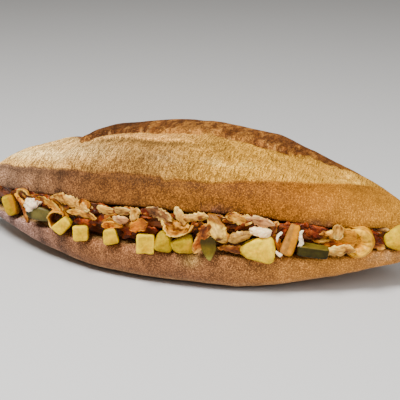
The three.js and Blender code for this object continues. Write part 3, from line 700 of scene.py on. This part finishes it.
def mouth(x, pan):
    """Turn of a piece about the upright, so that it partly follows the mouth's bend at x, plus its own
    pan."""
    slope = guides(x + 0.5).half - guides(x - 0.5).half
    return MOUTH_FOLLOW * np.arctan(-slope) + np.radians(pan)


def spin(axis, angle):
    """Rotation matrix about a coordinate axis."""
    return np.array(Matrix.Rotation(angle, 3, axis))


def placed(p, x, height, proud, depth, heading, turn, pan):
    """Stands local points in the mouth of the slit: local X along the mouth, Y up, Z out of it."""
    basis = np.array([(1, 0, 0), (0, 0, -1), (0, 1, 0)], float)
    facing = spin("Z", mouth(x, pan)) @ basis
    turned = facing @ spin("Z", np.radians(heading)) @ spin("X", np.radians(turn))
    return p @ turned.T + np.array([x, -guides(x).half - proud + depth / 2, height])


def flake_tint(tone, seed, curl, shade, fibre, key, s, v, w):
    """Colour of a flake from its own along, across and through parameters s, v and w: its face, deeper in
    spots, with painted light and shade following its fibre ridges, and paler at the torn borders; the amber
    flake browned at one end, the bright one tan, bright with a painted highlight, brown and burnt along its
    length, and painted shade inside a ring or loop."""
    calm = CALM.get(tone, 1.0)
    face, edge = (np.array(c) for c in TONES[tone])
    # The fibre term paints light and shade that follow the fibre ridges of the shape.
    mottle = layers(key, (0.3, 1.2, 28, np.array((0.35, 1, 1))), (0.5, 3.2, 29)) + 0.5 * fibre
    pallor = 0.36 + calm * (mottle + 0.3 * s * (1 if seed % 2 else -1))
    pallor = pallor + 0.6 * np.abs(v) ** 5 + 0.4 * np.abs(s) ** 8
    pallor = pallor + 0.35 * noise(key * (0.45, 1, 1), 0.55, 38)
    tint = mix(face * (0.26, 0.15, 0.15), face, ramp(pallor, -0.1, 0.45))
    tint = mix(tint, edge, ramp(pallor, 0.5, 1.05)) * (shade, shade ** 1.3, shade ** 1.5)
    blur = 0.35 * noise(key, 1.6, 75)
    if tone == "amber":
        tint = mix(tint, AMBER_BROWNED, 0.85 * ramp(s + blur, 0.15, 0.75))
    if tone == "bright":
        # Painted highlight in the bright flake's middle.
        tint = mix(tint, BRIGHT_HEART, 0.7 * hill(s, 0.0, 0.35) * hill(v, 0, 0.5))
        tint = mix(tint, edge * (0.4, 0.28, 0.3), 0.95 * ramp(-s + 0.3 * v + blur, 0.1, 0.6))
        tint = mix(tint, edge * (0.8, 0.6, 0.5), 0.8 * ramp(s + 0.3 * v + blur, 0.55, 0.95))
        burnt = np.clip(1.6 * hill(s + 0.3 * blur, 0.5, 0.13) * hill(v + blur, -0.4, 0.4), 0, 1)
        tint = mix(tint, edge * (0.2, 0.1, 0.1), burnt)
    # Painted shade inside a ring or loop.
    if abs(curl) > RING_CURL and tone != "ochre":
        tint = mix(tint, tint * (0.3, 0.2, 0.15), ramp(w, 0.1, 0.7) * ramp(0.9 - np.abs(v), 0, 0.25))
    return tint


def flake(x, height, proud, length, breadth, thickness, heading, turn, curl, tone, seed,
          stations=72, around=34, shade=1.0):
    """A torn sheet of meat: an arc bent by the curl, with s along, v across and w through it, both
    borders ragged by their own noise, tapering to frayed ends, cupped a little across, with fibres as
    ridges along the length."""
    s = np.linspace(-1, 1, stations)[:, None]
    a = np.linspace(0, 2 * np.pi, around, endpoint=False)[None, :]
    v = np.sign(np.cos(a)) * np.abs(np.cos(a)) ** 0.7 + 0 * s
    w = np.sign(np.sin(a)) * np.abs(np.sin(a)) ** 0.8 + 0 * s
    along = s * length / 2 + 0 * a
    own = seed * FLAKE_STEP + 0 * along
    key = np.stack([along, v * breadth / 2, own], -1)
    rim = np.stack([along, 9.3 * np.sign(v), own], -1)
    calm = CALM.get(tone, 1.0)
    taper = (1 - 0.5 * np.abs(s) ** 3) * np.sqrt(np.clip(1 - np.abs(s) ** 12, 0.03, 1))
    ragged = 1 + calm * layers(rim, (0.22, 3.4, 21), (0.34, 1.2, 22), (0.16, 0.6, 20))
    fray = 0.1 * length * noise(key * (0, 1, 1) + (0, 0, 5), 1.2, 23) * np.abs(s) ** 4 * np.sign(s)
    bend = np.radians(max(abs(curl), 1))
    radius = length / bend
    sag = radius * (1 - np.cos(bend / 2))
    angle = bend / 2 * s + fray / radius
    hollow = 0.35 * noise(np.array([seed * 1.7, 0.3, 0.9]), 1.0, 26) * breadth * (v * v - 0.3)
    fibre = layers(key, (0.22, 0.8, 24, np.array((0.18, 1, 1))), (0.5, 3.0, 25, np.array((0.7, 0.8, 1))))
    lift = calm * (hollow + fibre * min(1, thickness / 2))
    lumpy = 1 + 0.3 * calm * noise(key, 2.4, 30)
    thick = thickness / 2 * w * (0.4 + 0.6 * taper) * (1 - 0.5 * np.abs(v) ** 3) * lumpy
    reach = radius - thick - lift
    out = radius - sag / 2 - reach * np.cos(angle)
    width = v * breadth / 2 * taper * ragged
    p = np.stack([reach * np.sin(angle), width, out if curl >= 0 else -out], -1)
    depth = breadth if abs(turn) > EDGE_TURN else thickness
    rings = placed(p, x, height, proud, depth, heading, turn, 0)
    tint = flake_tint(tone, seed, curl, shade, fibre, key, s, v, w)
    grain = np.stack([along, v * breadth / 2, seed + 0 * along], -1)
    return rings, tint, grain


def small_strips():
    """Seeded small strips that fill the mouth behind the large flakes, one in each even step along it at
    a random height, darker the deeper they lie and in the dim gaps between the large flakes."""
    strips = []
    for k in range(SMALL_COUNT):
        x = SMALL_START + SMALL_RUN * (k + rng.random()) / SMALL_COUNT
        g = guides(x)
        left_end = x < LEFT_END
        dim = left_end or any(low < x < high for low, high in DIM_GAPS)
        level = rng.random() ** 0.7
        height = g.lower + 3 + (g.upper - g.lower - 2.5) * level
        proud = rng.uniform(-5.5, -2) if level < DEEP_LEVEL else rng.uniform(-2.5, 0.8)
        if left_end:
            proud = 0.6 * proud - 0.6
        # Deep strips, those in the dim gaps and those at the left end take dark tones as painted shade.
        dark_tones = LEFT_END_TONES if left_end else DEEP_TONES
        tone = str(rng.choice(OPEN_TONES if level > DEEP_LEVEL and not dim else dark_tones))
        size = min(1, g.half / 30)
        room = min(1, (g.upper - g.lower) / 24)
        length = rng.uniform(8, 15) * size * room
        breadth = rng.uniform(3, 6) * size
        thickness = rng.uniform(1.5, 2.4)
        heading = rng.uniform(-50, 50) * room ** 2
        turn = rng.uniform(-35, 35)
        curl = rng.uniform(5, 90)
        shade = (0.62 + 0.08 * proud) * (DIM_SHADE if dim else 1)
        strips.append(flake(x, height, proud, length, breadth, thickness, heading, turn, curl, tone,
                            SMALL_SEED + k, *SMALL_GRID, shade))
    return strips


def lip_strips():
    """Seeded dark strips pressed under the upper lip, one in each even step along it."""
    strips = []
    for k in range(LIP_COUNT):
        x = LIP_START + LIP_RUN * (k + rng.random()) / LIP_COUNT
        tone = str(rng.choice(LIP_TONES))
        height = guides(x).upper - rng.uniform(0.2, 2.2)
        proud = rng.uniform(-1.2, 0.4)
        length = rng.uniform(7, 13)
        breadth = rng.uniform(2.5, 4)
        heading = rng.uniform(-16, 12)
        turn = rng.uniform(-20, 20)
        strips.append(flake(x, height, proud, length, breadth, LIP_THICKNESS, heading, turn, LIP_CURL, tone,
                            LIP_SEED + k, *SMALL_GRID, LIP_SHADE))
    return strips


def slot_wall(y, g, lip, back):
    """Height of the slit's wall at y: straight from its lip at the front to its back."""
    inner = SLOT_DEPTH_SHARE * g.half
    return lip + (y + g.half) / (inner + g.half) * (back - lip)


def core_surface():
    """The dark packed meat behind the flakes: the solid's core section with its corners rounded by
    averaging, its front roughened by noise."""
    swing = np.linspace(-1, 1, CORE_STATIONS) * np.pi / 2 * CORE_SWING
    x = (ROLL_LENGTH / 2 * CORE_REACH * np.sin(swing))[:, None]
    g = guides(x)
    inner = SLOT_DEPTH_SHARE * g.half
    opening = SLOT_BACK_SHARE * (g.upper - g.lower)
    low = -g.half + np.minimum(CORE_FRONT_LOW, 0.5 * g.half)
    high = -g.half + np.minimum(CORE_FRONT_HIGH, 0.3 * g.half)
    floor_back, ceiling_back = g.hinge - opening / 2, g.hinge + opening / 2
    low_floor, back_floor = (slot_wall(y, g, g.lower, floor_back) + CORE_GAP for y in (low, inner))
    high_ceiling, back_ceiling = (slot_wall(y, g, g.upper, ceiling_back) - CORE_GAP for y in (high, inner))
    ledge = np.minimum(g.lower + CORE_LEDGE, 0.45 * low_floor + 0.55 * high_ceiling)
    corners = [
        (low, low_floor),
        (inner, back_floor),
        (inner + opening * CORE_END_SHARE, g.hinge),
        (inner, back_ceiling),
        (high, high_ceiling),
        (high, ledge),
        (low, ledge - 1),
    ]
    y, z = [], []
    for (a, b), (c, d), count in zip(corners, corners[1:] + corners[:1], CORE_COUNTS):
        s = np.arange(count)[None, :] / count
        y.append(a + (c - a) * s)
        z.append(b + (d - b) * s)
    y, z = (smoothed(np.concatenate(a, 1), CORE_SMOOTHING) for a in (y, z))
    p = np.stack([x + 0 * y, y, z], -1)
    p[..., 1] += ramp(y, low + 6, low + 1) * layers(p, (1.3, 5, 31), (0.8, 2, 32))
    # The core's dark meat colour is partly painted shade for the deep mouth.
    tint = CORE_MEAT * (1 + layers(p, (0.4, 3, 33), (0.3, 1.2, 34)))[..., None]
    grain = np.stack([x + 0 * y, z, 0 * y], -1)
    return p, tint, grain


def rounded(angle, power):
    """A point of a rounded square at an angle: a superellipse of that power, stepped by even angles."""
    c, s = np.cos(angle), np.sin(angle)
    reach = (np.abs(c) ** (2 / power) + np.abs(s) ** (2 / power)) ** (-power / 2)
    return reach * c, reach * s


def block(width, height, depth, power, stations=44, around=80):
    """A rounded box: rounded-square rings from the back face to the front, their size a rounded square
    too."""
    x, y = rounded(np.linspace(0, 2 * np.pi, around, endpoint=False)[None, :], power)
    r, z = rounded(np.linspace(-1, 1, stations)[:, None] * np.pi / 2 * 0.985, power)
    return np.stack([width / 2 * r * x, height / 2 * r * y, depth / 2 * z + 0 * x], -1)


def potato(row, seed):
    """A cut potato piece: a rounded box with leaning sides and faintly dented faces, riper in the middle of
    its face, paler at its edges, and browned in patches with painted shade towards its bottom and right; the
    left piece has painted shade on its right side."""
    x, height, proud, width, tall, depth, heading, pan, taper, wedge, soft = row
    p = block(width, tall, depth, soft)
    key = p + (0, 0, seed * POTATO_STEP)
    edge = ramp(np.sort(np.abs(p / (width / 2, tall / 2, depth / 2)), -1)[..., 1], 0.66, 0.98)
    across, up = p[..., 0] / (width / 2), p[..., 1] / (tall / 2)
    p[..., 0] *= 1 + taper * up
    p[..., 1] *= 1 + wedge * across
    p = p * (1 + layers(key, (0.06, 6, 41), (0.05, 2.4, 42), (0.015, 0.9, 47)))[..., None]
    mottle = (1 + layers(key, (0.22, 4, 43), (0.2, 1.5, 44), (0.16, 0.7, 46)))[..., None]
    # Browning in patches, with painted shade towards the piece's bottom and right.
    browned = ramp(noise(key, 5, 45) - 0.5 * up + 0.4 * across, 0.1, 1.1)
    ripe = hill(up, -0.25, 0.55) * hill(across + 0.4 * noise(key, 4, 49), 0.1, 0.6)
    tint = mix(POTATO_FLESH * mottle, POTATO_BROWNED, 0.6 * browned)
    tint = mix(lit(tint, -ripe, (0.06, 0.14, 0.7)), POTATO_EDGE, 0.55 * edge) * POTATO_SCALES[seed - 1]
    if seed == TALL_FRY:
        left = ramp(-p[..., 0] - 0.06 * p[..., 1], -0.4, 0.7)
        tint = mix(FRY_FLESH * mottle, FRY_SIDE * mottle, 0.9 * left)
    if seed == BIG_CHUNK:
        tint = mix(tint, CHUNK_SIDE, 0.8 * ramp(-across + 0.3 * noise(key, 3, 48), 0.25, 1.0))
    # Painted shade on the left piece's right side.
    if seed == LEFT_POTATO:
        tint = mix(tint, LEFT_SIDE, 0.75 * ramp(p[..., 0] + 0.15 * p[..., 1], 0.0, 2.5))
    return placed(p, x, height, proud, depth, heading, POTATO_LEAN, pan), tint


def pickle(row, seed):
    """A slice of pickle: a rounded slab, the second narrowed to a point below, in painted shade above and
    pale with a painted highlight at its point, with dark skin on its rind side."""
    x, height, proud, width, tall, depth, heading, pan = row
    p = block(width, tall, depth, PICKLE_EDGES[seed - 1], *PICKLE_GRID)
    up = p[..., 1] / (tall / 2)
    if seed == HANGING_SLICE:
        p[..., 0] *= np.interp(up, (-1, -0.1, 1), (0.2, 0.95, 1.05))
    key = p + (0, 0, seed * PICKLE_STEP)
    p = p * (1 + 0.03 * noise(key, 4, 51))[..., None]
    tint = PICKLE_FLESH[seed - 1] * (1 + layers(key, (0.25, 2.6, 52), (0.15, 1, 53)))[..., None]
    skin = PICKLE_SKIN * (1 + layers(key, (0.6, 2.2, 54), (0.3, 0.9, 55)))[..., None]
    if seed == LEFT_SLICE:
        tint = mix(tint, skin, 0.9 * ramp(-p[..., 0] / (width / 2), 0.45, 0.7))
    if seed == HANGING_SLICE:
        tint = mix(tint, SLICE_SHADED, ramp(up, -0.2, 0.7))
        # Pale flesh with a painted highlight at the point.
        tint = mix(tint, SLICE_POINT, 0.7 * ramp(-up, 0.3, 0.9))
    if seed == SKINNED_SLAB:
        tint = mix(tint, skin, 0.95 * ramp(p[..., 2] / (depth / 2), 0.5, 0.85) * ramp(up, 0.95, 0.75))
    return placed(p, x, height, proud, depth, heading, 0, pan), tint


def sauce(row, seed):
    """A dab of thick sauce: a rounded lump pushed out in soft folds by noise, the left one darker with
    patches of painted shade; a thin dab is bent by a sine along its length and flattened."""
    x, height, proud, width, tall, depth, heading = row
    p = block(width, tall, depth, DAB_EDGE, *DAB_GRID)
    key = p + (0, 0, seed * DAB_STEP)
    thin = width < THIN_DAB
    folds = 0.36 if seed == LEFT_DAB else 0.42 if thin else 0.16
    p = p * (1 + layers(key, (0.45, 3.0, 61), (folds, 1.4, 62), (0.05, 0.7, 64)))[..., None]
    if thin:
        upright = tall > width
        s = p[..., 1] / (tall / 2) if upright else p[..., 0] / (width / 2)
        p[..., 0 if upright else 1] += 0.3 * min(width, tall) * np.sin(2.4 * s + seed)
        p[..., 2] *= 0.7
    tint = (SAUCE_WARM if seed == WARM_DAB else SAUCE_WHITE) * (1 + 0.06 * noise(key, 0.8, 65))[..., None]
    # Patches of painted shade on the left dab.
    if seed == LEFT_DAB:
        tint = tint * (0.9 - 0.5 * ramp(noise(key, 1.8, 66), 0.0, 0.6))[..., None]
    return placed(p, x, height, proud, depth, heading, 0, 0), tint


def nodes_of(name, roughness, **sockets):
    """A new material with a Principled shader set to constants, its node tree, and a function that adds
    nodes."""
    material = bpy.data.materials.new(name)
    material.use_nodes = True
    tree = material.node_tree
    shader = tree.nodes["Principled BSDF"]
    shader.inputs["Roughness"].default_value = roughness
    for socket, value in sockets.items():
        shader.inputs[socket.replace("_", " ")].default_value = value

    def add(kind, links=(), **settings):
        """A new node with its sockets and settings set by name and its links made."""
        node = tree.nodes.new("ShaderNode" + kind)
        for key, value in settings.items():
            if key in node.inputs:
                node.inputs[key].default_value = value
            else:
                setattr(node, key, value)
        for socket, source in dict(links).items():
            tree.links.new(source, node.inputs[socket])
        return node

    return material, tree, shader, add


def attribute(add, name, output):
    """One output of a mesh attribute."""
    return add("Attribute", attribute_name=name).outputs[output]


def range_of(add, value, low, high, to_low, to_high, clamp=True):
    """A value moved from one range to another, held at the ends if clamped."""
    node = add("MapRange", {"Value": value}, clamp=clamp)
    for socket, number in zip(("From Min", "From Max", "To Min", "To Max"), (low, high, to_low, to_high)):
        node.inputs[socket].default_value = number
    return node.outputs["Result"]


def colour_range(add, value, to_low, to_high):
    """A colour moved from one to another as a value goes from 0 to 1."""
    node = add("MapRange", {"Vector": value}, data_type="FLOAT_VECTOR", clamp=True)
    sockets = {socket.identifier: socket for socket in node.inputs}
    ends = {"From_Min": (0, 0, 0), "From_Max": (1, 1, 1), "To_Min": to_low, "To_Max": to_high}
    for end, colour in ends.items():
        sockets[end + "_FLOAT3"].default_value = colour
    return node.outputs["Vector"]


def times(add, colour, factor):
    """A colour scaled by a value."""
    node = add("VectorMath", {0: colour}, operation="SCALE")
    node.id_data.links.new(factor, node.inputs["Scale"])
    return node.outputs["Vector"]


def crust_material():
    """Baked crust: the tint scaled by a power of a sum of wrinkles, grain, light specks, blotches,
    slanting strokes on the pale split and bands on the ear, so that light specks lead; the grain
    attribute gives the sum's strength, and strokes and wrinkles are bumps too."""
    material, tree, shader, add = nodes_of("crust", 0.62, Specular_IOR_Level=0.1)
    place = add("TexCoord").outputs["Object"]
    share = add("SeparateXYZ", {"Vector": attribute(add, "grain", "Vector")}).outputs

    def pattern(size, detail, scale=(1.0, 1.0, 1.0), slant=0.0):
        """Noise of one fineness over the roll, drawn out by a scale and turned about the upright."""
        turned = add("Mapping", {"Vector": place}, Rotation=(0.0, 0.0, slant), Scale=scale).outputs["Vector"]
        return add("TexNoise", {"Vector": turned}, Scale=size, Detail=detail, Roughness=0.6).outputs["Fac"]

    def centred(texture, amount):
        """A texture from 0 to 1 moved to plus and minus half an amount."""
        return range_of(add, texture, 0.0, 1.0, -amount / 2, amount / 2, clamp=False)

    def joined(kind, a, b):
        """Two values added or multiplied."""
        return add("Math", {0: a, 1: b}, operation=kind).outputs["Value"]

    def with_number(kind, a, number):
        """A value with a number added, or raised to it."""
        node = add("Math", {0: a}, operation=kind)
        node.inputs[1].default_value = number
        return node.outputs["Value"]

    wrinkle = pattern(1250.0, 2.0, (1.0, 0.7, 0.7))
    stroke = pattern(1050.0, 2.0, (1.0, 0.16, 0.22), 0.45)
    fine_grain = pattern(1900.0, 1.0)
    ear_bands = pattern(330.0, 4.0, (1.0, 0.25, 0.25))
    light_specks = pattern(1500.0, 0.0)
    blotches = pattern(150.0, 5.0)
    total = centred(wrinkle, 2.1)
    for layer in (
        joined("MULTIPLY", centred(stroke, 2.6), share["X"]),
        centred(fine_grain, 1.2),
        joined("MULTIPLY", centred(ear_bands, 3.2), share["Z"]),
        range_of(add, light_specks, 0.56, 0.74, -0.07, 0.95),
        centred(blotches, 1.3),
    ):
        total = joined("ADD", total, layer)
    total = with_number("ADD", joined("MULTIPLY", total, share["Y"]), 0.5)
    light = with_number("POWER", range_of(add, total, -0.15, 1.15, 0.0, 1.0), 1.9)
    shade = colour_range(add, light, (0.6, 0.55, 0.5), (2.12, 2.22, 2.3))
    tint = add("VectorMath", {0: attribute(add, "tint", "Color"), 1: shade}, operation="MULTIPLY")
    tree.links.new(tint.outputs["Vector"], shader.inputs["Base Color"])
    deep = range_of(add, share["X"], 0.0, 1.0, 0.3, 1.0)
    first = add("Bump", {"Height": stroke, "Strength": deep}, Distance=0.003)
    upon = {"Height": wrinkle, "Normal": first.outputs["Normal"]}
    second = add("Bump", upon, Strength=0.5, Distance=0.001)
    tree.links.new(second.outputs["Normal"], shader.inputs["Normal"])
    return material


def mottled(parts, texture, low, high, to_low, to_high, strength, distance):
    """Finishes a material: its tint scaled by a texture moved between two ranges, with bumps from the
    same."""
    material, tree, shader, add = parts
    shade = range_of(add, texture, low, high, to_low, to_high)
    tree.links.new(times(add, attribute(add, "tint", "Color"), shade), shader.inputs["Base Color"])
    bump = add("Bump", {"Height": texture}, Strength=strength, Distance=distance)
    tree.links.new(bump.outputs["Normal"], shader.inputs["Normal"])
    return material


def meat_material():
    """Moist flaked meat: the tint scaled by fibres drawn out along each flake, with fibrous bumps."""
    parts = nodes_of("chicken", 0.34, Specular_IOR_Level=0.25, Specular_Tint=(1.0, 0.8, 0.52, 1.0))
    add = parts[-1]
    drawn = add("VectorMath", {0: attribute(add, "grain", "Vector")}, operation="MULTIPLY")
    drawn.inputs[1].default_value = (0.15, 0.7, 7.0)
    fibre = add("TexNoise", {"Vector": drawn.outputs["Vector"]}, Scale=1.6, Detail=5.0, Roughness=0.6)
    return mottled(parts, fibre.outputs["Fac"], 0.35, 0.65, 0.6, 1.4, strength=0.5, distance=0.0008)


def soft_material(name, roughness, depth, size, strength, low, **sockets):
    """A soft moist food: the tint scaled by a little mottle, light passing into it, and shallow bumps."""
    parts = nodes_of(name, roughness, Subsurface_Weight=depth, Subsurface_Scale=0.004, **sockets)
    add = parts[-1]
    place = add("TexCoord").outputs["Object"]
    mottle = add("TexNoise", {"Vector": place}, Scale=size, Detail=5.0, Roughness=0.6)
    return mottled(parts, mottle.outputs["Fac"], 0.3, 0.7, low, 2 - low, strength, distance=0.0006)


def plain_material(name, colour, roughness):
    """One even colour."""
    material, _, shader, _ = nodes_of(name, roughness)
    shader.inputs["Base Color"].default_value = (*colour, 1)
    return material


def each(make, rows):
    """One part per row, numbered from 1."""
    return [make(row, number) for number, row in enumerate(rows, 1)]


def solids(name, rows):
    """Names of the solids that the rows stand for, numbered from 1."""
    return [f"{name}_{number}" for number in range(1, len(rows) + 1)]


meat = meat_material()
flakes = [flake(*row, seed) for seed, row in enumerate(FLAKES)]
shreds = [core_surface(), *small_strips(), *lip_strips()]
shreds += [flake(*row, *STRIP_GRID, shade) for *row, shade in EXTRA_STRIPS]
potato_flesh = soft_material("potato", roughness=0.6, depth=0.15, size=520.0, strength=0.5, low=0.82,
                             Specular_IOR_Level=0.06)
pickle_flesh = soft_material("pickle", roughness=0.35, depth=0.1, size=700.0, strength=0.3, low=0.8,
                             Specular_IOR_Level=0.12)
white_sauce = soft_material("sauce", roughness=0.3, depth=0.3, size=300.0, strength=0.2, low=0.97)

piece("roll_crust", [roll_surface()], crust_material(), ["bread_roll"])
piece("chicken_flakes", flakes, meat, ["chicken_filling"])
piece("chicken_shreds", shreds, meat, ["chicken_filling"])
piece("potato_pieces", each(potato, POTATOES), potato_flesh, solids("potato", POTATOES))
piece("pickle_slices", each(pickle, PICKLES), pickle_flesh, solids("pickle", PICKLES))
piece("sauce_dabs", each(sauce, SAUCES), white_sauce, solids("sauce", SAUCES))

# The stage, in metres: a pale floor just under the roll, soft light from all round, and two lamps.
FLOOR_HALF = 3
FLOOR_HEIGHT = -0.0004
CORNER_SIGNS = ((-1, -1), (1, -1), (1, 1), (-1, 1))
LAMP_AIM = Vector((0, 0, 0.04))
floor_corners = [(FLOOR_HALF * a, FLOOR_HALF * b, FLOOR_HEIGHT) for a, b in CORNER_SIGNS]
floor_mesh = bpy.data.meshes.new("floor")
floor_mesh.from_pydata(floor_corners, [], [(0, 1, 2, 3)])
floor_mesh.materials.append(plain_material("floor", (0.54, 0.53, 0.515), 0.9))
floor = bpy.data.objects.new("floor", floor_mesh)
bpy.context.scene.collection.objects.link(floor)

world = bpy.data.worlds.new("studio")
world.use_nodes = True
background = world.node_tree.nodes["Background"].inputs
background["Color"].default_value = (1.0, 0.97, 0.93, 1)
background["Strength"].default_value = 0.27
bpy.context.scene.world = world


def lamp(name, place, power, size):
    """A square soft light at a place, aimed at the roll's middle."""
    light = bpy.data.lights.new(name, "AREA")
    light.energy = power
    light.size = size
    obj = bpy.data.objects.new(name, light)
    obj.location = place
    obj.rotation_euler = (LAMP_AIM - Vector(place)).to_track_quat("-Z", "Y").to_euler()
    bpy.context.scene.collection.objects.link(obj)


lamp("key", place=(-0.15, -0.55, 0.95), power=27, size=0.35)
lamp("fill", place=(0.8, -0.5, 0.7), power=6.8, size=0.6)

# The camera stands about 19 degrees to the right of the slit and 20 degrees up, 56 cm from a point inside
# the roll, and is then moved a little to the right and down to frame it.
azimuth = np.radians(18.807)
elevation = np.radians(19.781)
distance = 0.5591
aim = Vector((0, 0, 0.045))
move_right = 0.00715
move_down = 0.00942
level = np.cos(elevation)
back = Vector((np.sin(azimuth) * level, -np.cos(azimuth) * level, np.sin(elevation)))
right = Vector((np.cos(azimuth), np.sin(azimuth), 0))
up = back.cross(right)
camera = bpy.data.objects.new("camera", bpy.data.cameras.new("camera"))
camera.data.lens = 83.87
camera.data.sensor_width = 36
camera.matrix_world = Matrix((right, up, back)).transposed().to_4x4()
camera.location = aim + back * distance + right * move_right - up * move_down
bpy.context.scene.collection.objects.link(camera)
bpy.context.scene.camera = camera
